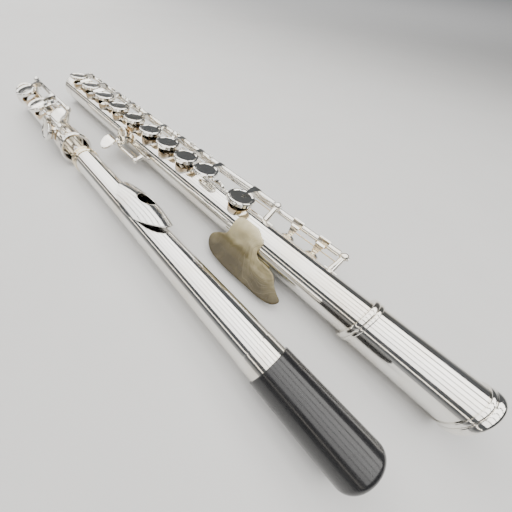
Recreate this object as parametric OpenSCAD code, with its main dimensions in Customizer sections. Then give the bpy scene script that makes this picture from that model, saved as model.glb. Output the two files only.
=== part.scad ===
/* [Tubes] */
// Bore of the body and foot tubes
bore_d = 19; // [18.9:0.05:19.1]
// Wall thickness of every tube
wall = 0.38; // [0.35:0.01:0.45]
// Length of the body joint from the barrel mouth to the tenon end
body_length = 377; // [375:1:380]
// Length of the barrel that receives the head joint
barrel_length = 46; // [44:1:48]
// Outside diameter of the barrel
barrel_d = 21.8; // [21.4:0.1:22.2]
// Outside diameter of the beaded rings on the barrel and the foot
ring_d = 24; // [23.6:0.1:24]
// Length of the foot joint
foot_length = 128; // [126:1:132]
// Depth of the foot socket, which is also the length of the body tenon
tenon_length = 14.5; // [13:0.5:16]

/* [Head joint] */
// Length of the head joint tube from the tenon end to the crown
head_length = 214; // [212:1:218]
// Outside diameter of the head tube at the crown end
head_small_d = 17.8; // [17.6:0.1:18]
// Distance from the centre of the blowing hole to the crown end of the tube
blow_hole_inset = 74; // [71:1:76]
// Direction that the lip plate faces, measured from straight up
lip_roll = 30; // [15:5:60]
// Length of the lip plate along the tube
lip_length = 48; // [44:1:50]
// Width of the lip plate across the tube
lip_width = 26; // [24:0.5:26]
// Length of the closed cap on the head tenon
cap_length = 38; // [34:1:42]

/* [Keys] */
// Diameter of a large key cup
cup_d = 17; // [16.6:0.1:17.2]
// Diameter of the small cups
small_cup_d = 11.4; // [11:0.1:11.8]
// Thickness of a key pad
pad_thick = 2.4; // [2.2:0.1:2.6]
// Angle that an open-standing key stands open
open_angle = 9; // [6:1:10]
// Diameter of the hinge steels
steel_d = 2; // [1.8:0.1:2]
// Outside diameter of the hinge tubes
hinge_d = 3.4; // [3.2:0.1:3.4]
// Diameter of the ball on top of a post
ball_d = 4.6; // [4.2:0.1:4.8]

/* [Layout at rest] */
// Sideways distance from the body joint to the head and foot joints
side_gap = 48; // [46:1:50]
// Distance of the head tenon end beyond the barrel mouth
head_start = 20; // [20:1:24]
// Distance of the foot socket beyond the barrel mouth
foot_start = 254; // [254:1:258]
// Roll of the foot joint away from the body joint
foot_roll = 20; // [10:5:25]

/* [Hidden] */

$fn = 64;
tube_r = bore_d / 2 + wall;
bore_r = bore_d / 2;
tenon_r = tube_r + 0.18;
socket_r = tenon_r + 0.04;
rib_r = tube_r + 0.6;
steel_r = steel_d / 2;
hinge_r = hinge_d / 2;
running_gap = 0.05;
hinge_bore_r = steel_r + running_gap;
ball_r = ball_d / 2;
cup_r = cup_d / 2;
small_cup_r = small_cup_d / 2;
cup_wall = 0.6;

// Heights above a tube's axis
hole_top = tube_r + 2;
pad_base = hole_top + 0.05;
pad_top = pad_base + pad_thick;
cup_base = pad_base + 0.5;
cup_top = pad_top + 0.7;
arm_top = cup_top + 0.9;

// Hinge lines as [y, z] beside the tube's axis
main_line = [-15.4, 13.2];
trill_line = [-18.4, 8.6];
thumb_line = [-17.6, 3.2];
g_sharp_line = [16.5, -2.6];
foot_d_sharp_line = [-1.2, 15.4];

// Tone holes along the body, named by the key that covers each
c_x = 125;
index_x = 155.5;
b_flat_x = 175.4;
a_x = 196.5;
g_x = [218.9, 242.6];
f_sharp_x = 267.7;
f_x = 294.3;
e_x = 322.4;
d_x = 352.3;
trill_d_sharp_x = 79;
trill_d_x = 95;
trill_turn = 104;
thumb_turn = 103;
thumb_open = 12;
g_sharp_turn = -65;
large_hole_r = 6.7;
large_rim_r = 7.2;
small_hole_r = 3.3;
small_rim_r = 3.8;
c_hole_r = 5.9;
c_rim_r = 6.4;
c_cup_r = 8.2;
thumb_hole_r = 4.9;
thumb_rim_r = 5.4;
thumb_cup_r = 6.6;
main_holes = [b_flat_x, a_x, g_x[0], g_x[1], f_sharp_x, f_x, e_x, d_x];

// Tone holes along the foot
foot_d_sharp_x = 25.8;
foot_c_sharp_x = 54.9;
foot_c_x = 90.4;
foot_d_sharp_turn = -38;
roller_z = 17;
c_sharp_roller_y = -3.9;
c_roller_y = -9.4;

// Posts along each hinge line
left_posts = [109.5, 207.8, 256];
right_posts = [280.9, 360.3];
trill_posts = [67, 346.5];
thumb_posts = [164.2, 201];
g_sharp_posts = [218, 253];
foot_main_posts = [26.5, 105];
foot_side_posts = [8.5, 32.1];

// Head and foot places
rest_height = -ring_d / 2;
cap_r = tube_r + 0.8;
head_z = rest_height + cap_r;
foot_z = 0;
hole_x = head_length - blow_hole_inset;
lip_top_r = 15.2;
lip_curve_r = 13.2;
lip_shift = lip_top_r - lip_curve_r;
lip_thick = 0.9;

// A solid cylinder along X
module rod_x(x0, x1, r) {
    translate([x0, 0, 0]) rotate([0, 90, 0]) cylinder(h = x1 - x0, r = r);
}

// Turns a profile drawn as [radius, x] into a solid round the X axis
module turned_x() {
    rotate([0, 90, 0]) rotate_extrude($fn = 96) children();
}

// Points of a half-round bead that stands on a radius
function bead(r, x, half, rise) = [for (i = [0 : 12]) [r + rise * sin(15 * i), x - half * cos(15 * i)]];

// An oval outline
function oval(a, b) = [for (i = [0 : 47]) [a * cos(7.5 * i), b * sin(7.5 * i)]];

// Places children at a hinge line
module at_line(line) {
    translate([0, line[0], line[1]]) children();
}

// Turns children about a hinge line
module about(line, angle) {
    translate([0, line[0], line[1]]) rotate([angle, 0, 0]) translate([0, -line[0], -line[1]]) children();
}

// A hinge line seen from a cup that is turned round the tube
function seen(line, turn) = [line[0] * cos(turn) + line[1] * sin(turn),
    -line[0] * sin(turn) + line[1] * cos(turn)];

// The rim of a tone hole, standing on the tube
module hole_rim(x, r, turn = 0) {
    rotate([turn, 0, 0]) translate([x, 0, 4]) cylinder(h = hole_top - 4, r = r);
}

// The opening of a tone hole
module hole_cut(x, r, turn = 0) {
    rotate([turn, 0, 0]) translate([x, 0, 4]) cylinder(h = hole_top, r = r);
}

// A raised ring round a shallow dish, as [radius, height] from the edge to the middle
function ringed_top(r, top) = [[r, top - 0.7], [r - 0.3, top - 0.2], [r - 0.8, top], [r - 1.3, top - 0.04],
    [r - 1.7, top - 0.2], [r - 2, top - 0.35], [r * 0.45, top - 0.3], [0, top - 0.22]];

// A key cup with a ringed top
module cup(x, r) {
    translate([x, 0, 0]) rotate_extrude($fn = 96) polygon(concat([
        [0, pad_top], [r - cup_wall, pad_top], [r - cup_wall, cup_base], [r, cup_base]],
        ringed_top(r, cup_top)));
}

// The felt pad inside a cup
module pad(x, r) {
    inner = r - cup_wall;
    translate([x, 0, 0]) rotate_extrude($fn = 96) polygon([
        [0, pad_base], [inner - 0.7, pad_base], [inner - 0.02, pad_base + 0.6],
        [inner - 0.02, pad_top], [0, pad_top]]);
}

// A pointed arm from a hinge line at [y, z] to the middle of a cup
module arm(x, line, reach = 1.5, root_width = 4.4, tip_width = 1.3, cup = cup_r) {
    side = line[0] < 0 ? -1 : 1;
    y = abs(line[0]);
    z = line[1];
    low = cup_top - 0.4;
    rise = max(z + hinge_r * 0.9, arm_top);
    intersection() {
        translate([x - 5, 0, 0]) rotate([90, 0, 90]) linear_extrude(10) polygon([
            [side * reach, low], [side * (cup - 0.2), low], [side * (cup + 0.9), low - 0.9],
            [side * (y - hinge_r * 0.6), min(z - 0.9, low - 1.4)], [side * (y + hinge_r * 0.5), z - 0.4],
            [side * (y + hinge_r * 0.7), z + hinge_r * 0.7], [side * (y - 0.4), rise],
            [side * (cup + 1.2), arm_top + 0.25], [side * reach, arm_top - 0.35]]);
        linear_extrude(40) polygon([
            [x - root_width / 2, side * (y + 3)], [x + root_width / 2, side * (y + 3)],
            [x + root_width / 2, side * (y - 2)], [x + tip_width, side * (cup - 1)],
            [x, side * reach], [x - tip_width, side * (cup - 1)], [x - root_width / 2, side * (y - 2)]]);
    }
}

// A hinge tube between two places on a line, still solid
module hinge(x0, x1, line) {
    at_line(line) rod_x(x0, x1, hinge_r);
}

// Small lugs that pass the motion of one key to the next
module lug(x0, x1, line, lean = -20) {
    at_line(line) rotate([lean, 0, 0]) translate([x0, -0.8, hinge_r - 0.5])
        cube([x1 - x0, 1.6, 1.9]);
}

// Takes the running bore for a steel out of a key
module hinged(x0, x1, line, r = hinge_bore_r) {
    difference() {
        union() children();
        at_line(line) rod_x(x0 - 1, x1 + 1, r);
    }
}

// A turned ball with a small flat on each side
module ball() {
    flat = 20;
    turned_x() polygon(concat([[0, -ball_r * cos(flat)]],
        [for (i = [0 : 14]) let(t = flat + (180 - 2 * flat) * i / 14) [ball_r * sin(t), -ball_r * cos(t)]],
        [[0, ball_r * cos(flat)]]));
}

// A post with a ball head, standing square on the tube under a hinge line
module post(x, line, bore = steel_r, base = rib_r) {
    lean = atan2(-line[0], line[1]);
    far = norm(line);
    difference() {
        union() {
            translate([x, line[0], line[1]]) ball();
            rotate([lean, 0, 0]) translate([x, 0, tube_r]) cylinder(h = far - tube_r, r1 = 2, r2 = 1.35);
        }
        rod_x(x - 5, x + 5, base);
        translate([0, line[0], line[1]]) rod_x(x - 5, x + 5, bore);
    }
}

// A flat-bottomed strip soldered along the tube between two turns
module rib(x0, x1, turn0, turn1) {
    half_width = rib_r * sin((turn1 - turn0) / 2);
    rotate([(turn0 + turn1) / 2, 0, 0]) intersection() {
        rod_x(x0, x1, rib_r);
        translate([x0, -half_width, tube_r]) cube([x1 - x0, 2 * half_width, 2]);
    }
}

// A needle spring from a post towards a catch on a key
module needle(x0, x1, line, drop = 2.7) {
    inward = line / norm(line);
    place = line - inward * drop;
    translate([0, place[0], place[1]]) rod_x(x0, x1, 0.28);
}

// ---- Body joint ----

// The barrel with its socket for the head joint
module barrel() {
    color("silver") difference() {
        rod_x(0, barrel_length, barrel_d / 2);
        rod_x(-1, barrel_length - 6, socket_r);
        rod_x(0, barrel_length + 1, tube_r);
    }
}

// One beaded double ring
module double_ring(x0, base_r) {
    crest = ring_d / 2 - base_r - 0.4;
    turned_x() polygon(concat(
        [[base_r, x0]],
        bead(base_r + 0.4, x0 + 1.3, 1.3, crest),
        bead(base_r + 0.4, x0 + 3.4, 0.8, crest * 0.55),
        [[base_r, x0 + 4.2]]));
}

module barrel_rings() {
    color("silver") {
        double_ring(0, barrel_d / 2);
        translate([barrel_length, 0, 0]) mirror([1, 0, 0]) double_ring(0, barrel_d / 2);
    }
}

// The body tube with its tone-hole rims drawn up from it
module body_tube() {
    color("silver") difference() {
        union() {
            rod_x(barrel_length - 6, body_length, tube_r);
            rod_x(body_length - tenon_length, body_length, tenon_r);
            for (x = main_holes) hole_rim(x, large_rim_r);
            hole_rim(c_x, c_rim_r);
            hole_rim(index_x, thumb_rim_r, thumb_turn);
            hole_rim(trill_d_x, small_rim_r, trill_turn);
            hole_rim(trill_d_sharp_x, small_rim_r, trill_turn);
            hole_rim(g_x[1], thumb_rim_r, g_sharp_turn);
        }
        rod_x(barrel_length - 7, body_length + 1, bore_r);
        for (x = main_holes) hole_cut(x, large_hole_r);
        hole_cut(c_x, c_hole_r);
        hole_cut(index_x, thumb_hole_r, thumb_turn);
        hole_cut(trill_d_x, small_hole_r, trill_turn);
        hole_cut(trill_d_sharp_x, small_hole_r, trill_turn);
        hole_cut(g_x[1], thumb_hole_r, g_sharp_turn);
    }
}

module body_ribs() {
    color("silver") {
        rib(63.6, 70.4, 58, 72);
        rib(104, 260, 48, 60);
        rib(277, 362, 48, 60);
        rib(342, 351, 61, 73);
        rib(161, 168, 72, 88);
        rib(197, 205, 72, 88);
        rib(214, 222, -110, -90);
        rib(249, 257, -110, -90);
    }
}

module body_posts() {
    color("silver") {
        for (x = left_posts) post(x, main_line);
        for (x = right_posts) post(x, main_line);
        for (x = trill_posts) post(x, trill_line, hinge_bore_r);
        for (x = thumb_posts) post(x, thumb_line);
        for (x = g_sharp_posts) post(x, g_sharp_line);
    }
}

module left_hand_steel() {
    color("gainsboro") at_line(main_line) rod_x(left_posts[0] - 2.6, left_posts[2] + 2, steel_r);
}

module right_hand_steel() {
    color("gainsboro") at_line(main_line) rod_x(right_posts[0] - 2, right_posts[1] + 2.6, steel_r);
}

module thumb_steel() {
    color("gainsboro") at_line(thumb_line) rod_x(thumb_posts[0] - 2.5, thumb_posts[1] + 2.5, steel_r);
}

module g_sharp_steel() {
    color("gainsboro") at_line(g_sharp_line) rod_x(g_sharp_posts[0] - 2.5, g_sharp_posts[1] + 2.5, steel_r);
}

module body_springs() {
    color("goldenrod") {
        for (x = [left_posts[0], left_posts[1], right_posts[0]]) needle(x + 1, x + 13, main_line, 4.2);
        needle(right_posts[1] - 12, right_posts[1] - 1, main_line, 4.2);
        needle(trill_posts[0] + 1, trill_posts[0] + 26, trill_line, 4.6);
        needle(thumb_posts[0] + 1, thumb_posts[0] + 14, thumb_line, 3.6);
        needle(g_sharp_posts[0] + 1, g_sharp_posts[0] + 14, g_sharp_line, 3.6);
    }
}

// ---- Keys of the body ----

// Small cup and index-finger touch on one hinge tube
module c_key() {
    touch_r = 8.2;
    touch_high = 3.4;
    color("silver") about(main_line, open_angle) hinged(112, 166, main_line) {
        hinge(112.2, 165, main_line);
        cup(c_x, c_cup_r);
        arm(c_x, main_line, 0.6, 5.2, 1.5, c_cup_r);
        arm(index_x, main_line, 2.5, 4.4, 1.3, touch_r);
        translate([index_x, 0, cup_base]) rotate_extrude($fn = 96) polygon(concat([
            [0, 0], [1.4, 0], [1.8, 0.5], [2.6, 0.5], [3, 0.1], [3.8, 0.1], [4.2, 0.6], [6.4, 0.6],
            [touch_r - 0.3, 1.2], [touch_r, 1.6]], ringed_top(touch_r, touch_high)));
    }
}

module c_key_pad() {
    color("bisque") about(main_line, open_angle) pad(c_x, c_cup_r);
}

// A key with one cup over the middle of the tube
module plain_key(x, x0, x1) {
    color("silver") about(main_line, open_angle) hinged(x0, x1, main_line) {
        hinge(x0, x1, main_line);
        cup(x, cup_r);
        arm(x, main_line, cup_r - 3.2);
        lug(x0 + 0.4, x0 + 2.4, main_line);
        lug(x1 - 2.4, x1 - 0.4, main_line);
    }
}

module plain_pad(x) {
    color("bisque") about(main_line, open_angle) pad(x, cup_r);
}

module b_flat_key() {
    plain_key(b_flat_x, 165.3, 185.8);
}

module b_flat_pad() {
    plain_pad(b_flat_x);
}

module a_key() {
    plain_key(a_x, 186.1, 204.9);
}

module a_pad() {
    plain_pad(a_x);
}

// The two cups of the G key share a hinge tube
module g_key() {
    color("silver") about(main_line, open_angle) hinged(210, 253, main_line) {
        hinge(210.7, 253.1, main_line);
        for (x = g_x) {
            cup(x, cup_r);
            arm(x, main_line, cup_r - 3.2);
        }
    }
}

module g_pads() {
    color("bisque") about(main_line, open_angle) for (x = g_x) pad(x, cup_r);
}

module f_sharp_key() {
    plain_key(f_sharp_x, 258.9, 278);
}

module f_sharp_pad() {
    plain_pad(f_sharp_x);
}

module f_key() {
    plain_key(f_x, 283.8, 307.6);
}

module f_pad() {
    plain_pad(f_x);
}

module e_key() {
    plain_key(e_x, 307.9, 336.4);
}

module e_pad() {
    plain_pad(e_x);
}

module d_key() {
    plain_key(d_x, 336.7, 357.6);
}

module d_pad() {
    plain_pad(d_x);
}

// Closed key on the far side of the tube, with a paddle for the little finger
module g_sharp_key() {
    x = g_x[1];
    line = seen(g_sharp_line, g_sharp_turn);
    color("silver") hinged(220, 251, g_sharp_line) {
        rotate([g_sharp_turn, 0, 0]) {
            hinge(220.9, 250.1, line);
            cup(x, thumb_cup_r);
            arm(x, line, 1.5, 4.4, 1.2, thumb_cup_r);
        }
        intersection() {
            translate([224, 0, 0]) rotate([90, 0, 90]) linear_extrude(28) polygon([
                [15.8, -0.4], [17.6, -3], [19.6, 1.5], [21, 5.2], [22.6, 6.1], [25, 5.7], [32.4, 1.9],
                [32.8, 2.7], [25.4, 6.7], [22.4, 7.2], [20, 6.2], [18.2, 2.4]]);
            linear_extrude(30, center = true) polygon(concat(
                [[250, 14.5], [249, 19.6]],
                [for (i = [0 : 12]) [241.6 + 6.4 * cos(18 * i - 18), 25.8 + 6.4 * sin(18 * i - 18)]],
                [[237.4, 20.6], [242.4, 18], [243.6, 14.5]]));
        }
    }
}

module g_sharp_pad() {
    color("bisque") rotate([g_sharp_turn, 0, 0]) pad(g_x[1], thumb_cup_r);
}

// Thumb key on the back of the tube, held by an arm that reaches along it
module thumb_b_key() {
    line = seen(thumb_line, thumb_turn);
    color("silver") about(thumb_line, -thumb_open) hinged(167, 183, thumb_line) rotate([thumb_turn, 0, 0]) {
        hinge(167.1, 182.7, line);
        cup(index_x, thumb_cup_r);
        flat_bar([[index_x - 0.5, 0.4], [index_x - 0.5, -2.2], [index_x + 1.5, -2.6], [169.5, 2.6],
            [171, line[0] - 2], [171, line[0] + 0.6], [167.2, line[0] + 0.6], [167.2, 3.9]],
            cup_top - 0.3, 1.5);
        flat_bar([[167.2, line[0] - 1], [180, line[0] - 1], [181, line[0] - 8], [178, line[0] - 12],
            [170, line[0] - 12], [165.6, line[0] - 8]], cup_top + 0.6, 1.3);
    }
}

// A flat bar with a straight-sided outline
module flat_bar(points, z, thick) {
    translate([0, 0, z]) linear_extrude(thick) polygon(points);
}

module thumb_b_pad() {
    color("bisque") about(thumb_line, -thumb_open) rotate([thumb_turn, 0, 0]) pad(index_x, thumb_cup_r);
}

module thumb_b_flat_lever() {
    line = seen(thumb_line, thumb_turn);
    color("silver") about(thumb_line, -thumb_open) hinged(183, 198, thumb_line) rotate([thumb_turn, 0, 0]) {
        hinge(183, 198.1, line);
        flat_bar([[184, line[0] - 1], [197, line[0] - 1], [197.4, line[0] - 7], [194.4, line[0] - 11.4],
            [187, line[0] - 11.4], [183.6, line[0] - 7]], cup_top + 0.6, 1.3);
    }
}

// The steel of the trill keys turns with the upper one
module trill_steel() {
    color("gainsboro") at_line(trill_line) rod_x(trill_posts[0] - 2.6, trill_posts[1] + 2.6, steel_r);
}

// A trill cup with its pointed arm
module trill_cup(x) {
    line = seen(trill_line, trill_turn);
    rotate([trill_turn, 0, 0]) {
        cup(x, small_cup_r);
        arm(x, line, 1, 4.6, 1.2, small_cup_r);
    }
    at_line(trill_line) rotate([-22, 0, 0]) translate([x - 3.1, 0, 0]) rotate([90, 0, 90])
        linear_extrude(6.2) polygon([[-2.2, -0.6], [-0.4, hinge_r + 2.4], [0.4, hinge_r + 2.4], [2.2, -0.6]]);
}

// A trill touch between two cups, on an arm that passes under the main hinge
module trill_touch(x) {
    intersection() {
        translate([x - 4, 0, 0]) rotate([90, 0, 90]) linear_extrude(8) polygon([
            [trill_line[0] - 0.6, trill_line[1] - 1.5], [-14, 7.4], [-9.6, 9.2], [-7.4, 12], [-5, 14.8],
            [4, 15.4], [4.4, 16], [4, 16.6], [-6, 16.6], [-8.8, 13], [-10.6, 10.8], [-14.6, 9.6],
            [trill_line[0] + 0.6, trill_line[1] + 1.5]]);
        linear_extrude(30) polygon([
            [x - 2.1, -22], [x + 2.1, -22], [x + 1.7, -10], [x + 2.9, -4], [x + 3.2, 0.5], [x + 2.2, 3.4],
            [x, 4.4], [x - 2.2, 3.4], [x - 3.2, 0.5], [x - 2.9, -4], [x - 1.7, -10]]);
    }
}

module trill_d_sharp_key() {
    color("silver") hinged(69, 350, trill_line, steel_r) {
        hinge(69.6, 87.2, trill_line);
        trill_cup(trill_d_sharp_x);
        hinge(318, 343.9, trill_line);
        trill_touch(337.3);
    }
}

module trill_d_sharp_pad() {
    color("bisque") rotate([trill_turn, 0, 0]) pad(trill_d_sharp_x, small_cup_r);
}

module trill_d_key() {
    color("silver") hinged(87, 318, trill_line) {
        hinge(87.5, 317.7, trill_line);
        trill_cup(trill_d_x);
        trill_touch(308.3);
    }
}

module trill_d_pad() {
    color("bisque") rotate([trill_turn, 0, 0]) pad(trill_d_x, small_cup_r);
}

// Points of an arc about the tube's axis as [y, z], between two turns from the top
function clip_arc(r, from, to) = [for (i = [0 : 16])
    let(t = from + (to - from) * i / 16) [r * sin(t), r * cos(t)]];

// Clip-on saddle for the first finger, with a wide wing that stands off the tube
module finger_saddle() {
    skin = 1.5;
    grip_r = tube_r + 0.05;
    color("tan", 0.9) intersection() {
        translate([72, 0, 0]) rotate([90, 0, 90]) linear_extrude(56) union() {
            polygon(concat(clip_arc(grip_r + skin, 20, 160), clip_arc(grip_r, 160, 20)));
            polygon([
                [9.2, 5.6], [10.4, 4.8], [11.5, 2.2], [13, -0.2], [15, -2.3], [18, -4.4], [21.5, -6.1],
                [25, -7.4], [26.2, -8.2], [26, -9], [25, -9], [21, -7.8], [17.2, -6.1], [14, -3.9],
                [11.6, -1.6], [10.6, 0.4], [9.8, 3]]);
        }
        rotate([-45, 0, 0]) linear_extrude(60, center = true) polygon([
            [117.5, -4.6], [111, -5.2], [104.6, -4.6], [101, -3.4], [99.4, -1.4], [98.2, 2], [97.4, 5],
            [95, 7.2], [90, 7.4], [86, 8.6], [83, 11], [80, 13.2], [75, 15.2], [72.8, 17], [74, 20],
            [79, 22.4], [86, 23], [96, 23.6], [105, 24], [113, 22.8], [119, 21], [124, 19.4],
            [127, 17.4], [126, 14.6], [122.6, 11.6], [120, 8], [118.8, 3], [118.8, -2]]);
    }
}

// ---- Head joint ----

// Places children where the head joint lies
module head_place() {
    translate([head_start, side_gap, head_z]) children();
}

// The head tube's outline as [radius, x], from its widened tenon to the narrow crown end
function head_outline(inset) = [[tenon_r - inset, 0], [tenon_r - inset, 46], [tube_r - inset, 46.6],
    [tube_r - inset, 60], [head_small_d / 2 - inset, 190], [head_small_d / 2 - inset, head_length]];

// The oval blowing hole, square to the lip plate
module blow_hole(extra) {
    rotate([lip_roll, 0, 0]) translate([hole_x, 0, 3]) linear_extrude(20)
        polygon(oval(6.1 + extra, 5.2 + extra));
}

// Solid round X that fills the head tube's outer skin
module head_solid() {
    turned_x() polygon(concat([[0, 0]], head_outline(0), [[0, head_length]]));
}

module head_tube() {
    color("silver") head_place() difference() {
        head_solid();
        turned_x() polygon(concat([[0, -1], [tenon_r - wall, -1]], head_outline(wall),
            [[head_small_d / 2 - wall, head_length + 1], [0, head_length + 1]]));
        blow_hole(0);
    }
}

// Turned solid under the outer face of the lip plate, or under its inner face
module lip_form(inset) {
    half = lip_length / 2 + 1;
    droop = 3.3;
    rotate([lip_roll, 0, 0]) translate([hole_x, 0, lip_shift]) turned_x() polygon(concat(
        [[0, -half]],
        [for (i = [-12 : 12]) [lip_curve_r - inset - droop * pow(i / 12, 2), half * i / 12]],
        [[0, half]]));
}

module lip_riser() {
    color("silver") head_place() difference() {
        intersection() {
            rotate([lip_roll, 0, 0]) translate([hole_x, 0, 3]) linear_extrude(20)
                polygon(oval(7.6, 6.7));
            lip_form(lip_thick);
        }
        head_solid();
        blow_hole(0);
    }
}

module lip_plate() {
    color("silver") head_place() difference() {
        intersection() {
            lip_form(0);
            rotate([lip_roll, 0, 0]) translate([hole_x, 0, 3]) linear_extrude(20)
                polygon(oval(lip_length / 2, lip_width / 2));
        }
        lip_form(lip_thick);
        blow_hole(0);
    }
}

// Crown that screws on the stopper rod and closes the head tube
module crown() {
    r = head_small_d / 2;
    x = head_length;
    color("wheat") head_place() turned_x() difference() {
        polygon(concat(
            [[0, x + 0.3], [r, x + 0.3]],
            bead(r, x + 1.5, 1.2, 0.9),
            [[r - 0.3, x + 2.7], [r - 0.2, x + 5.6]],
            bead(r - 0.2, x + 6.4, 0.8, 0.7),
            [[r - 1.2, x + 7.6], [r - 4, x + 8.6], [0, x + 9]]));
        translate([-1, x]) square([3.05, 6]);
    }
}

// Cork that seals the end of the bore
module stopper_cork() {
    color("peru") head_place() difference() {
        rod_x(hole_x + 18.4, hole_x + 35, head_small_d / 2 - wall - 0.02);
        rod_x(hole_x + 18, hole_x + 36, 2);
    }
}

module stopper_rod() {
    color("silver") head_place() rod_x(hole_x + 17.2, head_length + 5.6, 2);
}

// Reflector plate in front of the cork and clamping plate behind it
module stopper_plates() {
    color("silver") head_place() {
        difference() {
            union() {
                rod_x(hole_x + 17.2, hole_x + 18.4, head_small_d / 2 - wall - 0.15);
                rod_x(hole_x + 35, hole_x + 36.2, head_small_d / 2 - wall - 0.15);
            }
            rod_x(hole_x + 10, hole_x + 40, 2);
        }
    }
}

// Closed sleeve that protects the head tenon
module tenon_cap() {
    color([0.04, 0.04, 0.045]) head_place() turned_x() polygon([
        [0, -2.4], [cap_r - 2.2, -2.4], [cap_r - 0.7, -1.9], [cap_r, -0.6],
        [cap_r, cap_length - 0.3], [cap_r - 0.3, cap_length], [tenon_r + running_gap, cap_length],
        [tenon_r + running_gap, -0.3], [0, -0.3]]);
}

// ---- Foot joint ----

// Places children where the foot joint lies
module foot_place() {
    translate([foot_start, side_gap, foot_z]) rotate([-foot_roll, 0, 0]) children();
}

module foot_tube() {
    foot_rim_r = large_rim_r + 0.4;
    foot_hole_r = large_hole_r + 0.4;
    socket = tenon_length + 0.5;
    color("silver") foot_place() difference() {
        union() {
            rod_x(0, socket + 3, socket_r + 0.6);
            rod_x(0, foot_length, tube_r);
            hole_rim(foot_d_sharp_x, thumb_rim_r, foot_d_sharp_turn);
            for (x = [foot_c_sharp_x, foot_c_x]) hole_rim(x, foot_rim_r);
        }
        rod_x(-1, socket, socket_r);
        rod_x(0, foot_length + 1, bore_r);
        hole_cut(foot_d_sharp_x, thumb_hole_r, foot_d_sharp_turn);
        for (x = [foot_c_sharp_x, foot_c_x]) hole_cut(x, foot_hole_r);
    }
}

module foot_rings() {
    color("silver") foot_place() {
        double_ring(0, socket_r + 0.6);
        translate([foot_length, 0, 0]) mirror([1, 0, 0]) turned_x() polygon(concat(
            [[tube_r, 0]], bead(tube_r + 0.2, 1.2, 1.2, 0.9), [[tube_r, 2.4]]));
    }
}

module foot_ribs() {
    color("silver") foot_place() {
        rib(22, 110, 52, 60);
    }
}

module foot_posts() {
    color("silver") foot_place() {
        for (x = foot_main_posts) post(x, main_line, hinge_bore_r);
        post(foot_side_posts[0], foot_d_sharp_line, steel_r, socket_r + 0.6);
        post(foot_side_posts[1], foot_d_sharp_line, steel_r, tube_r);
    }
}

module foot_d_sharp_steel() {
    color("gainsboro") foot_place() at_line(foot_d_sharp_line)
        rod_x(foot_side_posts[0] - 2.4, foot_side_posts[1] + 2.4, steel_r);
}

// The long steel turns with the low C key
module foot_steel() {
    color("gainsboro") foot_place() about(main_line, open_angle) at_line(main_line)
        rod_x(foot_main_posts[0] - 2.6, foot_main_posts[1] + 2.6, steel_r);
}

// Closed key with a curved paddle on the near side of its hinge
module d_sharp_key() {
    line = seen(foot_d_sharp_line, foot_d_sharp_turn);
    x = foot_d_sharp_x;
    color("silver") foot_place() hinged(10, 31, foot_d_sharp_line) {
        rotate([foot_d_sharp_turn, 0, 0]) {
            hinge(11.1, 29.6, line);
            cup(x, thumb_cup_r + 0.6);
            arm(x, line, 1.5, 4.4, 1.2, thumb_cup_r + 0.6);
        }
        intersection() {
            translate([8, 0, 0]) rotate([90, 0, 90]) linear_extrude(24) polygon([
                [0.4, 16.4], [-2, 17.4], [-8, 18.4], [-12.4, 18.2], [-13, 17.6], [-12.4, 17], [-8, 17],
                [-3, 16], [-1.6, 14.2], [0, 14]]);
            linear_extrude(30) polygon([[14, 3], [27, 3], [27, -2], [26, -9], [22, -12.6], [16, -12.8],
                [12.4, -10], [12, -5], [14, -2]]);
        }
    }
}

module d_sharp_pad() {
    color("bisque") foot_place() rotate([foot_d_sharp_turn, 0, 0])
        pad(foot_d_sharp_x, thumb_cup_r + 0.6);
}

// A touch with two horns that hold a roller along X
module roller_touch(x0, x1, y) {
    base = roller_z - 2.9;
    translate([x0, y - 1.5, base]) cube([x1 - x0, 3, 1]);
    for (x = [x0, x1 - 1.4]) translate([x, y - 1.5, base]) cube([1.4, 3, 3.9]);
    translate([x0, y, roller_z]) rod_x(0.4, x1 - x0 - 0.4, 0.5);
}

module low_c_sharp_key() {
    color("silver") foot_place() about(main_line, open_angle) hinged(41, 72, main_line) {
        hinge(41.4, 72, main_line);
        cup(foot_c_sharp_x, cup_r);
        arm(foot_c_sharp_x, main_line, cup_r - 3.2);
        translate([42, -14.6, 14.1]) cube([3.4, 11.5, 1]);
        translate([34.9, -5.4, 14.1]) cube([9, 3, 1]);
        roller_touch(34.9, 42, c_sharp_roller_y);
    }
}

module low_c_sharp_pad() {
    color("bisque") foot_place() plain_pad(foot_c_sharp_x);
}

module low_c_key() {
    color("silver") foot_place() about(main_line, open_angle) hinged(29, 103, main_line, steel_r) {
        hinge(72.3, 102.1, main_line);
        cup(foot_c_x, cup_r);
        arm(foot_c_x, main_line, cup_r - 3.2);
        hinge(29.4, 41.1, main_line);
        translate([35.6, -15, 14.1]) cube([4, 6, 1]);
        roller_touch(33.2, 41, c_roller_y);
    }
}

module low_c_pad() {
    color("bisque") foot_place() plain_pad(foot_c_x);
}

// A small barrel roller on a pin along X
module roller(x0, x1, y) {
    translate([0, y, roller_z]) turned_x() polygon([
        [0.55, x0 + 1.6], [1.3, x0 + 1.6], [1.5, (x0 + x1) / 2], [1.3, x1 - 1.6], [0.55, x1 - 1.6]]);
}

module c_sharp_roller() {
    color("black") foot_place() about(main_line, open_angle) roller(34.9, 42, c_sharp_roller_y);
}

module c_roller() {
    color("black") foot_place() about(main_line, open_angle) roller(33.2, 41, c_roller_y);
}

module foot_springs() {
    color("goldenrod") foot_place() {
        needle(foot_main_posts[0] + 1, foot_main_posts[0] + 20, main_line, 4.2);
        needle(foot_main_posts[1] - 14, foot_main_posts[1] - 1, main_line, 4.2);
    }
}

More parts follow.
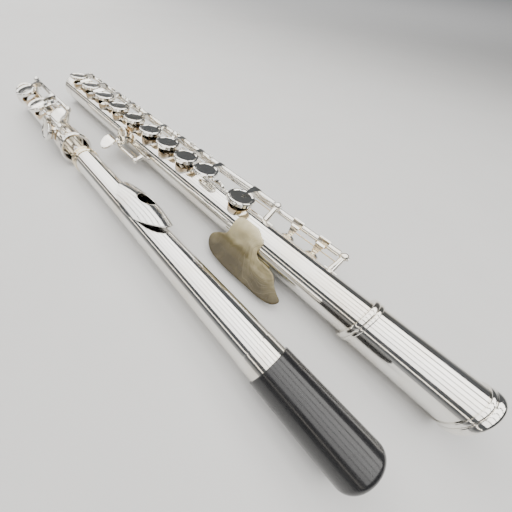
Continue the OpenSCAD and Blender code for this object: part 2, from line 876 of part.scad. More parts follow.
barrel();
barrel_rings();
body_tube();
body_ribs();
body_posts();
left_hand_steel();
right_hand_steel();
thumb_steel();
g_sharp_steel();
body_springs();
c_key();
c_key_pad();
b_flat_key();
b_flat_pad();
a_key();
a_pad();
g_key();
g_pads();
f_sharp_key();
f_sharp_pad();
f_key();
f_pad();
e_key();
e_pad();
d_key();
d_pad();
g_sharp_key();
g_sharp_pad();
thumb_b_key();
thumb_b_pad();
thumb_b_flat_lever();
trill_steel();
trill_d_sharp_key();
trill_d_sharp_pad();
trill_d_key();
trill_d_pad();
finger_saddle();
head_tube();
lip_riser();
lip_plate();
crown();
stopper_cork();
stopper_rod();
stopper_plates();
tenon_cap();
foot_tube();
foot_rings();
foot_ribs();
foot_posts();
foot_d_sharp_steel();
foot_steel();
d_sharp_key();
d_sharp_pad();
low_c_sharp_key();
low_c_sharp_pad();
low_c_key();
low_c_pad();
c_sharp_roller();
c_roller();
foot_springs();
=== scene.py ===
import bpy
import bmesh
import math
from mathutils import Matrix, Vector


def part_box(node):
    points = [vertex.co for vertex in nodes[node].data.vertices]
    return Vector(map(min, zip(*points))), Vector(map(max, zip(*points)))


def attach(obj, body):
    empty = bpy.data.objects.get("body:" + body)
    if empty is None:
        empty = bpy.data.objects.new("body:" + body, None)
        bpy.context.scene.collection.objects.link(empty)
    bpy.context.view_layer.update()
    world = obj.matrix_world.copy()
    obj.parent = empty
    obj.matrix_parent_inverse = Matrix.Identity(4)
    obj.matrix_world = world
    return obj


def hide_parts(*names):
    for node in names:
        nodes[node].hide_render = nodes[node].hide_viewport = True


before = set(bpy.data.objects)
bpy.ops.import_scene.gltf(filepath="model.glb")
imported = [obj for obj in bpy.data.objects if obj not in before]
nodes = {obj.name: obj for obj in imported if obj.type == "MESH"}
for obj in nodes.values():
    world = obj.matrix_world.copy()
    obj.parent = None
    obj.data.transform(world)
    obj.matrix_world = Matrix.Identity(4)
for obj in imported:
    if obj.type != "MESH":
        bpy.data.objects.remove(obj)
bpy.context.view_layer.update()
mm = 0.001
print("frame loaded with", len(nodes), "nodes")


class Socket:
    # wraps one output so that sums on it add Math nodes
    def __init__(self, shader, output):
        self.shader = shader
        self.output = output

    def __add__(self, other):
        return self.shader.math("ADD", self, other)

    def __radd__(self, other):
        return self.shader.math("ADD", other, self)

    def __sub__(self, other):
        return self.shader.math("SUBTRACT", self, other)

    def __rsub__(self, other):
        return self.shader.math("SUBTRACT", other, self)

    def __mul__(self, other):
        return self.shader.math("MULTIPLY", self, other)

    def __rmul__(self, other):
        return self.shader.math("MULTIPLY", other, self)


class Finish:
    # one node material, or the air of the studio, built up socket by socket
    def __init__(self, name, owner=None, shader="Principled BSDF", **constants):
        self.material = owner or bpy.data.materials.new(name)
        self.material.use_nodes = True
        self.tree = self.material.node_tree
        self.surface = self.tree.nodes[shader]
        for socketName, value in constants.items():
            self.surface.inputs[socketName].default_value = value

    def math(self, operation, first, second):
        return self.add("ShaderNodeMath", {"operation": operation}, {0: first, 1: second})

    def put(self, target, value):
        if isinstance(value, Socket):
            self.tree.links.new(value.output, target)
        else:
            target.default_value = value

    def add(self, kind, settings=None, sockets=None, output=0):
        made = self.tree.nodes.new(kind)
        for setting, value in (settings or {}).items():
            if setting == "stops":
                ramp = made.color_ramp.elements
                while len(ramp) < len(value):
                    ramp.new(0.5)
                for element, (place, colour) in zip(ramp, value):
                    element.position = place
                    element.color = (*colour, 1)
            else:
                setattr(made, setting, value)
        for key, value in (sockets or {}).items():
            self.put(made.inputs[key], value)
        return Socket(self, made.outputs[output])

    def place(self, stretch=(1, 1, 1)):
        # object coordinates in millimetres, stretched along each axis
        coordinates = self.add("ShaderNodeTexCoord", output="Object")
        scale = tuple(value / mm for value in stretch)
        return self.add("ShaderNodeMapping", {}, {"Vector": coordinates, "Scale": scale})

    def noise(self, place, scale, detail=3, roughness=0.5, distortion=0, output=0):
        return self.add("ShaderNodeTexNoise", {}, {
            "Vector": place, "Scale": scale, "Detail": detail, "Roughness": roughness,
            "Distortion": distortion}, output)

    def ramp(self, factor, *stops):
        return self.add("ShaderNodeValToRGB", {"stops": stops}, {"Fac": factor})

    def spread(self, value, low, high, start=0.0, end=1.0):
        # remaps a value that varies over the surface, held at its ends
        return self.add("ShaderNodeMapRange", {"clamp": True}, {
            "Value": value, "From Min": low, "From Max": high, "To Min": start, "To Max": end})

    def blend(self, factor, first, second):
        # sockets 6 and 7 of a Mix node are its two colours, and output 2 is the mixed colour
        made = self.add("ShaderNodeMix", {"data_type": "RGBA"}, {0: factor}, output=2)
        mixer = made.output.node
        for slot, value in ((6, first), (7, second)):
            self.put(mixer.inputs[slot], value if isinstance(value, Socket) else (*value, 1))
        return made

    def bump(self, height, strength, distance):
        return self.add("ShaderNodeBump", {}, {
            "Height": height, "Strength": strength, "Distance": distance * mm})

    def finish(self, **links):
        for socketName, value in links.items():
            self.put(self.surface.inputs[socketName.replace("_", " ")], value)
        return self.material


# silver plate: warm white metal, hand-polished along the tube, a little tarnish and touch marks
silverLook = {
    "clean": (0.87, 0.855, 0.82),
    "warm": (0.82, 0.775, 0.69),
    "tarnish": (0.60, 0.51, 0.39),
    "tarnishAmount": 0.16,
    "roughLow": 0.045,
    "roughHigh": 0.16,
    "toned": (0.58, 0.43, 0.25),
    # how far from the tube's axis the toning starts and is full, in millimetres
    "toning": (10.4, 11.3),
    "toningAmount": 0.8,
    "cloudsPerMm": 0.035,
    "marksPerMm": 0.32,
    "streaksPerMm": 6.5,
    "lineDepth": 0.02,
}


def silver(name, look, stretch=(0.12, 1, 1), lineStrength=0.05, axis=None):
    made = Finish(name, Metallic=1.0)
    place = made.place()
    clouds = made.noise(place, look["cloudsPerMm"], 4, 0.6, 0.6)
    marks = made.noise(place, look["marksPerMm"], 5, 0.65)
    streaks = made.noise(made.place(stretch), look["streaksPerMm"], 3, 0.7)
    warmth = made.blend(made.spread(clouds, 0.42, 0.7), look["clean"], look["warm"])
    spots = made.spread(marks * clouds, 0.27, 0.44) * look["tarnishAmount"]
    colour = made.blend(spots, warmth, look["tarnish"])
    if axis:
        # gold-brown toning on whatever stands up from the tube, where no cloth reaches
        coordinates = made.add("ShaderNodeSeparateXYZ", {}, {0: place}, "Y")
        split = coordinates.output.node.outputs
        across = coordinates - axis[0]
        height = Socket(made, split["Z"]) - axis[1]
        distance = made.math("POWER", across * across + height * height, 0.5)
        toning = made.spread(distance, *look["toning"], 0, look["toningAmount"])
        colour = made.blend(toning, colour, look["toned"])
    wipe = made.spread(marks, 0.42, 0.72) * 0.6 + made.spread(streaks, 0.35, 0.75) * 0.4
    rough = made.spread(wipe, 0, 1, look["roughLow"], look["roughHigh"])
    polish = made.bump(streaks * 0.7 + marks * 0.3, lineStrength, look["lineDepth"])
    return made.finish(Base_Color=colour, Roughness=rough, Normal=polish)


tubeSilver = silver("tubeSilver", silverLook)
bodySilver = silver("bodySilver", silverLook, axis=(0, 0))
headY = sum(corner[1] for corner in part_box("tenon_cap")) / 2 / mm
footSilver = silver("footSilver", silverLook, axis=(headY, 0))
keyLook = dict(silverLook, roughLow=0.05, roughHigh=0.19, tarnishAmount=0.26,
               warm=(0.88, 0.83, 0.73))
keySilver = silver("keySilver", keyLook, (1, 0.35, 1), 0.07)
lipLook = dict(silverLook, clean=(0.74, 0.735, 0.715), warm=(0.70, 0.67, 0.62),
               roughLow=0.09, roughHigh=0.2)
lipSilver = silver("lipSilver", lipLook, (1, 0.35, 1), 0.06)
crownLook = dict(silverLook, clean=(0.93, 0.85, 0.68), warm=(0.88, 0.76, 0.54),
                 tarnishAmount=0.3)
crownSilver = silver("crownSilver", crownLook, (1, 0.3, 0.3), 0.06)

# hinge steel: turned, so its fine rings run round it
steelLook = {"bright": (0.66, 0.65, 0.63), "dark": (0.36, 0.33, 0.30), "ringsPerMm": 3.2}
steel = Finish("hingeSteel", Metallic=1.0)
turning = steel.noise(steel.place((1, 0.02, 0.02)), steelLook["ringsPerMm"], 2, 0.6)
steelStain = steel.spread(steel.noise(steel.place(), 0.9, 5, 0.6), 0.45, 0.75)
hingeSteel = steel.finish(
    Base_Color=steel.blend(steelStain, steelLook["bright"], steelLook["dark"]),
    Roughness=steel.spread(turning, 0.3, 0.7, 0.16, 0.34),
    Normal=steel.bump(turning, 0.2, 0.02))

# needle springs: gold-coloured wire, blued in places
springLook = {"gold": (0.66, 0.52, 0.30), "blued": (0.34, 0.29, 0.24)}
wire = Finish("springWire", Metallic=1.0)
wireStain = wire.noise(wire.place((1, 0.2, 0.2)), 0.8, 4, 0.6)
springWire = wire.finish(
    Base_Color=wire.blend(wire.spread(wireStain, 0.4, 0.75), springLook["gold"], springLook["blued"]),
    Roughness=wire.spread(wireStain, 0.3, 0.7, 0.2, 0.36),
    Normal=wire.bump(wire.noise(wire.place((0.1, 1, 1)), 14, 2), 0.2, 0.01))

# pads: felt under a creased skin
padLook = {"skin": (0.80, 0.68, 0.48), "fold": (0.60, 0.45, 0.27), "fibre": 1.6}
skin = Finish("padSkin", **{"Sheen Weight": 0.25, "Coat Weight": 0.15, "Coat Roughness": 0.35})
fibres = skin.noise(skin.place((1, 0.2, 1)), padLook["fibre"], 6, 0.7, 0.8)
wrinkles = skin.noise(skin.place(), 0.5, 4, 0.6, 1.2)
padSkin = skin.finish(
    Base_Color=skin.blend(skin.spread(wrinkles, 0.35, 0.7), padLook["skin"], padLook["fold"]),
    Roughness=skin.spread(fibres, 0.3, 0.7, 0.42, 0.68),
    Normal=skin.bump(fibres * 0.4 + wrinkles * 0.6, 0.5, 0.12))

corkLook = {"cell": (0.62, 0.42, 0.24), "bark": (0.28, 0.16, 0.08), "cellsPerMm": 1.4}
bark = Finish("cork")
barkPlace = bark.place()
cells = bark.add("ShaderNodeTexVoronoi", {}, {
    "Vector": barkPlace, "Scale": corkLook["cellsPerMm"]}, "Distance")
flecks = bark.spread(bark.noise(barkPlace, 0.7, 5, 0.7), 0.55, 0.68)
cork = bark.finish(
    Base_Color=bark.blend(flecks, corkLook["cell"], corkLook["bark"]),
    Roughness=bark.spread(cells, 0, 0.6, 0.7, 0.92),
    Normal=bark.bump(cells, 0.5, 0.15))

# the cap's glossy black plastic, with dust and long rubs
capLook = {"black": (0.010, 0.010, 0.011), "dust": (0.06, 0.058, 0.055), "dustAmount": 0.3}
plastic = Finish("blackPlastic", **{"Coat Weight": 0.35, "Coat Roughness": 0.08, "IOR": 1.49})
plasticPlace = plastic.place()
haze = plastic.noise(plasticPlace, 0.12, 5, 0.62, 0.4)
specks = plastic.spread(plastic.noise(plasticPlace, 3.4, 2, 0.5), 0.66, 0.76)
rubs = plastic.noise(plastic.place((0.08, 1, 1)), 3.2, 4, 0.7)
blackPlastic = plastic.finish(
    Base_Color=plastic.blend(specks * capLook["dustAmount"], capLook["black"], capLook["dust"]),
    Roughness=plastic.spread(haze * 0.6 + rubs * 0.4, 0.35, 0.68, 0.16, 0.34),
    Normal=plastic.bump(rubs * 0.5 + haze * 0.5, 0.05, 0.05))

# pale horn: milky over the tube, olive towards the wing, with fine lines that bend round the notch
hornLook = {
    "milk": (0.70, 0.63, 0.42),
    "cream": (0.42, 0.365, 0.215),
    "olive": (0.12, 0.098, 0.048),
    "brown": (0.045, 0.034, 0.013),
    "stops": (0.30, 0.52, 0.76, 0.98),
    # where the horn starts to darken and is darkest, sideways from the tube's axis
    "fade": (8, 26),
    # how far the clouds are pushed about along each axis
    "drift": (7, 10, 7),
    # the place that the fine lines bend round, and how far from it they end and are full
    "notch": (92.5, 20, 8.5),
    "ringReach": (21, 12),
    "linesPerMm": 1.9,
    "darkLines": 0.5,
    "paleLines": 0.22,
}
horn = Finish("hornPlastic", **{
    "Subsurface Weight": 0.2, "Subsurface Radius": (0.004, 0.003, 0.0016), "Subsurface Scale": 0.5,
    "Coat Weight": 0.15, "Coat Roughness": 0.12, "Specular IOR Level": 0.22})
hornPlace = horn.place()
drift = horn.noise(hornPlace, 0.06, 2, 0.5, 0.3, "Color")
bent = horn.add("ShaderNodeVectorMath", {"operation": "MULTIPLY_ADD"}, {
    0: drift, 1: hornLook["drift"], 2: hornPlace})
clouds = horn.noise(bent, 0.12, 3, 0.5, 0.4)
fromTube = horn.spread(horn.add("ShaderNodeSeparateXYZ", {}, {0: bent}, "Y"), *hornLook["fade"])
shade = fromTube * 0.75 + clouds * 0.45
hornTones = [hornLook[tone] for tone in ("milk", "cream", "olive", "brown")]
hornBase = horn.ramp(shade, *zip(hornLook["stops"], hornTones))
rings = horn.add("ShaderNodeVectorMath", {"operation": "DISTANCE"}, {
    0: bent, 1: hornLook["notch"]}, "Value")
ringPlace = horn.add("ShaderNodeCombineXYZ", {}, {"X": rings})
lines = horn.noise(ringPlace, hornLook["linesPerMm"], 4, 0.6)
nearNotch = horn.spread(rings, *hornLook["ringReach"])
darkLines = horn.spread(lines, 0.52, 0.66) * nearNotch * hornLook["darkLines"]
paleLines = horn.spread(lines, 0.46, 0.34) * nearNotch * hornLook["paleLines"]
darkened = horn.blend(darkLines, hornBase, hornLook["brown"])
hornColour = horn.blend(paleLines, darkened, hornLook["milk"])
hornPlastic = horn.finish(
    Base_Color=hornColour,
    Roughness=horn.spread(clouds, 0.3, 0.7, 0.2, 0.34),
    Normal=horn.bump(horn.noise(hornPlace, 0.5, 3) * 0.7 + lines * nearNotch * 0.3, 0.05, 0.1))

finishes = {
    "silver_plate": tubeSilver,
    "warm_silver": crownSilver,
    "hinge_steel": hingeSteel,
    "spring_wire": springWire,
    "pad_skin": padSkin,
    "cork": cork,
    "black_plastic": blackPlastic,
    "horn_plastic": hornPlastic,
}
# small silver parts are polished across, and the keyed tubes are toned round their tone holes
keyWords = ("key", "lever", "posts")
tonedTubes = {"body_tube": bodySilver, "foot_tube": footSilver}
for nodeName, node in nodes.items():
    for slot in node.material_slots:
        finish = finishes[slot.material.name.split(".")[0]]
        if finish is tubeSilver and any(word in nodeName for word in keyWords):
            finish = keySilver
        slot.material = tonedTubes.get(nodeName, finish)
print("finishes given to every node")


def makePiece(name, points, faces, finish, body, smoothness=0, sharpFrom=None):
    mesh = bpy.data.meshes.new(name)
    mesh.from_pydata([Vector(point) * mm for point in points], [], faces)
    mesh.materials.append(finish)
    worker = bmesh.new()
    worker.from_mesh(mesh)
    bmesh.ops.recalc_face_normals(worker, faces=worker.faces)
    worker.to_mesh(mesh)
    worker.free()
    for face in mesh.polygons:
        face.use_smooth = True
    if sharpFrom:
        mesh.set_sharp_from_angle(angle=math.radians(sharpFrom))
    piece = bpy.data.objects.new(name, mesh)
    bpy.context.scene.collection.objects.link(piece)
    if smoothness:
        rounding = piece.modifiers.new("rounding", "SUBSURF")
        rounding.levels = smoothness
        rounding.render_levels = smoothness
    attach(piece, body)
    return piece


def between(points, amount):
    # a smooth curve through the points, amount runs from 0 to 1
    spans = len(points) - 1
    at = min(max(amount, 0.0), 1.0) * spans
    index = min(int(at), spans - 1)
    t = at - index
    around = [Vector(points[min(max(index + step, 0), spans)]) for step in (-1, 0, 1, 2)]
    before, start, end, after = around
    return 0.5 * ((2 * start) + (end - before) * t + (2 * before - 5 * start + 4 * end - after) * t * t
                  + (3 * start - before - 3 * end + after) * t * t * t)


# the clip-on finger saddle: a wing bent over the tube's side, and a clip below
saddle = {
    "thickness": 1.5,
    # the rim starts at this share of the way out, bulges by this much, and turns at these depths
    "rimFrom": 0.975,
    "rimRound": 0.012,
    "rimDepths": (0.16, 0.5, 0.84),
    "innerStart": 0.15,
    # the section from the top of the tube over its side and out along the wing, as (y, z)
    "section": [(3.9, 10.6), (6.6, 9.2), (8.9, 7.1), (10.4, 4.6), (11.6, 2.0), (13.2, -0.6),
                (15.2, -2.7), (18.0, -4.7), (21.5, -6.3), (25.6, -8.0)],
    # the cut edge, each point as (step along the section, distance along the tube)
    "edge": [(0.3, 117.0), (0.1, 112.3), (0.1, 107.8), (0.3, 104.2), (0.85, 101.4), (1.3, 98.8),
             (2.3, 98.1), (3.6, 98.2), (4.3, 96.8), (4.7, 93.6), (4.75, 90.0), (4.7, 86.2),
             (5.2, 82.9), (6.2, 79.8), (6.8, 76.4), (7.2, 73.2), (7.7, 72.9), (8.2, 74.2),
             (8.5, 77.2), (8.7, 82.0), (8.75, 87.3), (8.8, 92.6), (8.9, 99.5), (8.95, 106.6),
             (8.8, 114.7), (8.4, 121.4), (7.6, 125.6), (6.6, 126.6), (5.6, 123.8), (4.75, 119.4),
             (3.5, 118.9), (2.0, 118.9), (0.9, 118.6)],
    "middle": (5.5, 103),
    # the clip's bore, its ends as degrees from the top of the tube, and its ends along the tube
    "clipRadius": 10.0,
    "clipTurns": (100, 158),
    "clipX": (88, 119),
    # the clip's share of the wing's thickness, and where and how much it thins to its tip
    "clipThickness": 0.94,
    "clipThinFrom": 0.8,
    "clipThinning": 0.35,
    "clipNarrowing": 3,
}
lastStep = len(saddle["section"]) - 1


def saddlePlace(step, x, depth):
    # a point on the skin, with depth measured inwards from its outer face
    amount = step / lastStep
    middle = between(saddle["section"], amount)
    ahead = between(saddle["section"], min(amount + 0.01, 1)) - between(
        saddle["section"], max(amount - 0.01, 0))
    inward = Vector((ahead.y, -ahead.x)).normalized()
    point = middle + inward * depth
    return (x, point.x, point.y)


def saddleMesh(rounds=99, rings=12):
    # loops run outwards over the top, round the rim and back inwards below
    points = []
    faces = []
    thickness = saddle["thickness"]
    middle = Vector(saddle["middle"])
    edge = saddle["edge"]
    start = saddle["innerStart"]
    upper, outermost, lower = (thickness * share for share in saddle["rimDepths"])
    reaches = [(ring + start) / (rings + start) for ring in range(rings)] + [saddle["rimFrom"]]
    loops = [(reach, 0) for reach in reaches]
    loops += [(1, upper), (1 + saddle["rimRound"], outermost), (1, lower)]
    loops += [(reach, thickness) for reach in reversed(reaches)]
    closed = edge[-2:] + edge + edge[:2]
    for reach, depth in loops:
        for column in range(rounds):
            along = (column / rounds * len(edge) + 2) / (len(closed) - 1)
            spot = middle + (between(closed, along) - middle) * reach
            points.append(saddlePlace(min(max(spot.x, 0), lastStep), spot.y, depth))
    for row in range(len(loops) - 1):
        for column in range(rounds):
            following = (column + 1) % rounds
            faces.append([row * rounds + column, row * rounds + following,
                          (row + 1) * rounds + following, (row + 1) * rounds + column])
    faces.append(list(range(rounds)))
    faces.append([(len(loops) - 1) * rounds + column for column in range(rounds)])
    return points, faces


saddlePoints, saddleFaces = saddleMesh()
saddlePiece = makePiece(
    "fingerSaddleWing", saddlePoints, saddleFaces, hornPlastic, "finger_saddle", 1)
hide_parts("finger_saddle")


def clipMesh(columns=10, rows=14):
    # the hidden half of the clip, which grips the tube from below
    points = []
    faces = []
    startX, endX = saddle["clipX"]
    startTurn, endTurn = saddle["clipTurns"]
    thinFrom = saddle["clipThinFrom"]
    for row in range(rows + 1):
        amount = row / rows
        angle = math.radians(startTurn + (endTurn - startTurn) * amount)
        thin = 1 - saddle["clipThinning"] * max(0, amount - thinFrom) / (1 - thinFrom)
        inset = saddle["clipNarrowing"] * amount * amount
        outerRadius = saddle["clipRadius"] + saddle["thickness"] * saddle["clipThickness"] * thin
        for radius in (saddle["clipRadius"], outerRadius):
            for column in range(columns + 1):
                x = startX + inset + (endX - startX - 2 * inset) * column / columns
                points.append((x, radius * math.sin(angle), radius * math.cos(angle)))
    stride = columns + 1

    def at(row, outer, column):
        return (row * 2 + outer) * stride + column

    for row in range(rows):
        for column in range(columns):
            for outer in (0, 1):
                faces.append([at(row, outer, column), at(row, outer, column + 1),
                              at(row + 1, outer, column + 1), at(row + 1, outer, column)])
        for column in (0, columns):
            faces.append([at(row, 0, column), at(row, 1, column),
                          at(row + 1, 1, column), at(row + 1, 0, column)])
    for row in (0, rows):
        for column in range(columns):
            faces.append([at(row, 0, column), at(row, 0, column + 1),
                          at(row, 1, column + 1), at(row, 1, column)])
    return points, faces


clipPoints, clipFaces = clipMesh()
makePiece("fingerSaddleClip", clipPoints, clipFaces, hornPlastic, "finger_saddle", 1)
print("finger saddle made")

# the lip plate: an oval skin that curves both ways, with rounded rims at its edge and its hole
lipPlate = {
    # the same four values as in the CAD model
    "roll": 30,
    "headStart": 20,
    "holeX": 140,
    "axisZ": -1.32,
    "curveCentre": 2.0,
    "curveRadius": 13.2,
    "droop": 3.3,
    "droopLength": 25,
    "halfLength": 23.8,
    "halfWidth": 12.8,
    "hole": (6.1, 5.2),
    "thickness": 0.9,
    # how far the two rims bulge, as a share of the way from the hole to the edge
    "holeBulge": 0.012,
    "edgeBulge": 0.006,
    # the outer part of the skin is pulled up a little, so that the rim catches the light
    "riseFrom": 0.8,
    "rimRise": 0.125,
}


def lipPlateMesh(columns=72, rings=14):
    points = []
    faces = []
    roll = math.radians(lipPlate["roll"])
    holeLength, holeWidth = lipPlate["hole"]

    def place(x, s, depth):
        radius = lipPlate["curveRadius"] - lipPlate["droop"] * (x / lipPlate["droopLength"]) ** 2
        rise = math.sqrt(radius * radius - s * s)
        keep = (radius - depth) / radius
        s, height = s * keep, lipPlate["curveCentre"] + rise * keep
        return (lipPlate["headStart"] + lipPlate["holeX"] + x,
                headY + s * math.cos(roll) - height * math.sin(roll),
                lipPlate["axisZ"] + s * math.sin(roll) + height * math.cos(roll))

    # loops run over the top from the hole to the edge, round the rim and back below
    thickness = lipPlate["thickness"]
    riseFrom = lipPlate["riseFrom"]
    amounts = [math.sin(0.5 * math.pi * ring / rings) for ring in range(rings + 1)]
    loops = [(amount, 0) for amount in amounts] + [(1 + lipPlate["edgeBulge"], thickness / 2)]
    loops += [(amount, thickness) for amount in reversed(amounts)]
    loops += [(-lipPlate["holeBulge"], thickness / 2)]
    for amount, depth in loops:
        lift = lipPlate["rimRise"] * (max(0, amount - riseFrom) / (1 - riseFrom)) ** 2
        for column in range(columns):
            angle = 2 * math.pi * column / columns
            along = holeLength + (lipPlate["halfLength"] - holeLength) * amount
            across = holeWidth + (lipPlate["halfWidth"] - holeWidth) * amount
            points.append(place(along * math.cos(angle), across * math.sin(angle), depth - lift))
    for loop in range(len(loops)):
        following = (loop + 1) % len(loops)
        for column in range(columns):
            nextColumn = (column + 1) % columns
            faces.append([loop * columns + column, loop * columns + nextColumn,
                          following * columns + nextColumn, following * columns + column])
    return points, faces


lipPoints, lipFaces = lipPlateMesh()
lipPiece = makePiece("lipPlateSkin", lipPoints, lipFaces, lipSilver, "head_joint", 1)
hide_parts("lip_plate")
print("lip plate made")

# the tenon cap: a turned sleeve with a rounded closed end, as (radius, distance from the tenon's end)
tenonCap = {
    "outerRadius": 10.68,
    "boreRadius": 10.11,
    "endX": -2.4,
    "endRound": 2.6,
    "endDome": 0.25,
    # the flat of the end is drawn at these quarters of its radius
    "endQuarters": (0.2, 1, 2, 3),
    "sideX": (6, 12, 18, 24, 30, 34),
    "mouthX": 38,
    "mouthRound": 0.35,
    "mouthStep": 0.1,
    "boreX": 30,
    "floorX": -0.3,
    "floorCentre": 0.3,
}


def arcPoints(centre, radius, startTurn, endTurn, steps):
    turns = [math.radians(startTurn + (endTurn - startTurn) * step / steps) for step in range(steps + 1)]
    return [(centre[0] + radius * math.cos(turn), centre[1] + radius * math.sin(turn)) for turn in turns]


def capOutline():
    outer, bore = tenonCap["outerRadius"], tenonCap["boreRadius"]
    endX, endRound = tenonCap["endX"], tenonCap["endRound"]
    mouthX, mouthRound = tenonCap["mouthX"], tenonCap["mouthRound"]
    outline = [(step * (outer - endRound) / 4, endX + tenonCap["endDome"] * (1 - (step / 4) ** 2))
               for step in tenonCap["endQuarters"]]
    outline += arcPoints((outer - endRound, endX + endRound), endRound, -90, 0, 8)
    outline += [(outer, x) for x in tenonCap["sideX"]]
    outline += arcPoints((outer - mouthRound, mouthX - mouthRound), mouthRound, 0, 90, 4)
    outline += [(bore, mouthX - tenonCap["mouthStep"]), (bore, tenonCap["boreX"]),
                (bore, tenonCap["floorX"]), (tenonCap["floorCentre"], tenonCap["floorX"])]
    return outline


def turnedMesh(profile, headStart, axis, columns=96):
    points = []
    faces = []
    for radius, x in profile:
        for column in range(columns):
            angle = 2 * math.pi * column / columns
            points.append((headStart + x, axis[0] + radius * math.sin(angle),
                           axis[1] + radius * math.cos(angle)))
    for row in range(len(profile) - 1):
        for column in range(columns):
            nextColumn = (column + 1) % columns
            faces.append([row * columns + column, row * columns + nextColumn,
                          (row + 1) * columns + nextColumn, (row + 1) * columns + column])
    lastRow = (len(profile) - 1) * columns
    faces.append(list(range(columns)))
    faces.append([lastRow + column for column in range(columns)])
    return points, faces


capPoints, capFaces = turnedMesh(capOutline(), lipPlate["headStart"], (headY, lipPlate["axisZ"]))
capPiece = makePiece(
    "tenonCapSleeve", capPoints, capFaces, blackPlastic, "tenon_cap", sharpFrom=50)
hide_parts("tenon_cap")
print("tenon cap made")

# a plain paper floor, with painted light far away: its colour turns paler there, where less light
# reaches it
stageLook = {
    "floorSize": 40.0,
    "floorZ": -0.0121,
    "pale": (0.60, 0.597, 0.59),
    "shade": (0.56, 0.557, 0.55),
    # painted light: the floor's colour far away, and the distances in millimetres where it starts and is
    # full
    "farPaintedLight": (0.92, 0.92, 0.915),
    "paintedLightFrom": (900, 3000),
}
floorMesh = bpy.data.meshes.new("floor")
half = stageLook["floorSize"] / 2
floorCorners = [(-half, -half, 0), (half, -half, 0), (half, half, 0), (-half, half, 0)]
floorMesh.from_pydata(floorCorners, [], [(0, 1, 2, 3)])
floor = bpy.data.objects.new("floor", floorMesh)
floor.location = (0, 0, stageLook["floorZ"])
bpy.context.scene.collection.objects.link(floor)
paper = Finish("paperFloor", Roughness=0.75)
paperPlace = paper.place()
grain = paper.noise(paperPlace, 0.02, 4, 0.6)
reach = paper.add("ShaderNodeVectorMath", {"operation": "LENGTH"}, {0: paperPlace}, "Value")
# painted light: the floor's colour turns paler with distance, in place of light that does not reach so
# far
paintedLightMask = paper.spread(reach, *stageLook["paintedLightFrom"])
nearPaper = paper.blend(grain, stageLook["pale"], stageLook["shade"])
floorMesh.materials.append(paper.finish(
    Base_Color=paper.blend(paintedLightMask, nearPaper, stageLook["farPaintedLight"]),
    Normal=paper.bump(paper.noise(paperPlace, 1.5, 3), 0.08, 0.1)))

studioLook = {
    # the air is pale at the height of the floor's end and dim above it
    "airHeights": ((0.0, (0.50, 0.50, 0.495)), (0.05, (0.46, 0.46, 0.46)),
                   (0.22, (0.12, 0.125, 0.13)), (1.0, (0.10, 0.105, 0.115))),
    "brightness": 4.2,
    "aim": (0.70, 0.02, 0),
    "distance": 0.66,
    "length": 2.7,
    # each long soft box: degrees round from overhead, degrees wide, brightness and colour
    "boxes": {
        "nearBox": (39, 17, 0.7, (1.0, 0.985, 0.96)),
        "nearUpperBox": (20, 15, 0.85, (1.0, 0.985, 0.96)),
        "upperBox": (2, 16, 0.95, (1.0, 0.99, 0.965)),
        "middleBox": (-18, 18, 1.0, (1.0, 0.985, 0.955)),
        "lowerBox": (-41, 19, 1.0, (1.0, 0.985, 0.95)),
        "warmBox": (66, 4, 0.7, (1.0, 0.93, 0.82)),
    },
    # a panel that faces away from the tubes and keeps the back of the floor pale
    "backPanel": {
        "place": (0.9, -1.0, 1.4),
        "towards": (0.35, -0.75, -0.45),
        "size": 2,
        "brightness": 2.2,
    },
}
world = bpy.data.worlds.new("studio")
bpy.context.scene.world = world
air = Finish("studioAir", world, "Background")
skyPlace = air.add("ShaderNodeTexCoord", output="Generated")
airHeight = air.add("ShaderNodeSeparateXYZ", {}, {0: skyPlace}, "Z")
air.finish(Color=air.ramp(airHeight, *studioLook["airHeights"]))


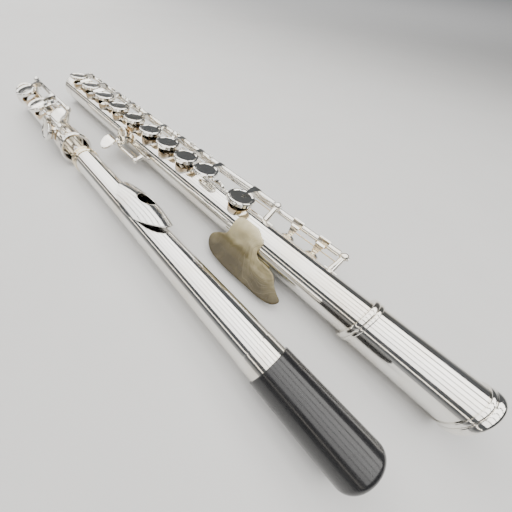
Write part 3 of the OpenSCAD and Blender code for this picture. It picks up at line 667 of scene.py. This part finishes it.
def hangLight(name, place, towards, colour, power):
    light = bpy.data.lights.new(name, "AREA")
    light.color = colour
    light.energy = power
    lamp = bpy.data.objects.new(name, light)
    lamp.location = place
    lamp.rotation_mode = "QUATERNION"
    lamp.rotation_quaternion = Vector(towards).to_track_quat("-Z", "Y")
    bpy.context.scene.collection.objects.link(lamp)
    return lamp


alongTubes = Vector((-1, 0, 0))
for boxName, (turn, spread, strength, colour) in studioLook["boxes"].items():
    angle = math.radians(turn)
    outward = Vector((0, math.sin(angle), math.cos(angle)))
    width = 2 * studioLook["distance"] * math.tan(math.radians(spread / 2))
    power = math.pi * studioLook["length"] * width * studioLook["brightness"] * strength
    place = Vector(studioLook["aim"]) + outward * studioLook["distance"]
    lamp = hangLight(boxName, place, -outward, colour, power)
    # the box's long side runs along the tubes
    sides = Matrix((alongTubes, outward.cross(alongTubes), outward))
    lamp.rotation_quaternion = sides.transposed().to_quaternion()
    lamp.data.shape = "RECTANGLE"
    lamp.data.size, lamp.data.size_y = studioLook["length"], width
panel = studioLook["backPanel"]
panelPower = math.pi * panel["size"] ** 2 * panel["brightness"]
back = hangLight("backPanel", panel["place"], panel["towards"], (1, 1, 1), panelPower)
back.data.size = panel["size"]

# place in metres, turns in degrees, lens in millimetres
cameraLook = {
    "place": (0.0693, 0.0870, 0.0977),
    "yaw": -41.60,
    "pitch": -54.30,
    "roll": 4.08,
    "lens": 15.40,
    "shift": (0.1348, -0.0064),
}
yaw, pitch, roll = (math.radians(cameraLook[key]) for key in ("yaw", "pitch", "roll"))
forward = Vector((math.cos(pitch) * math.cos(yaw), math.cos(pitch) * math.sin(yaw), math.sin(pitch)))
level = forward.cross(Vector((0, 0, 1))).normalized()
upright = level.cross(forward)
right = math.cos(roll) * level + math.sin(roll) * upright
up = math.cos(roll) * upright - math.sin(roll) * level
cameraData = bpy.data.cameras.new("camera")
cameraData.sensor_width = 36
cameraData.lens = cameraLook["lens"]
cameraData.shift_x, cameraData.shift_y = cameraLook["shift"]
cameraData.clip_start = 0.005
camera = bpy.data.objects.new("camera", cameraData)
facing = Matrix((right, up, -forward)).transposed().to_4x4()
camera.matrix_world = Matrix.Translation(cameraLook["place"]) @ facing
bpy.context.scene.collection.objects.link(camera)
bpy.context.scene.camera = camera
print("stage, lights and camera set")
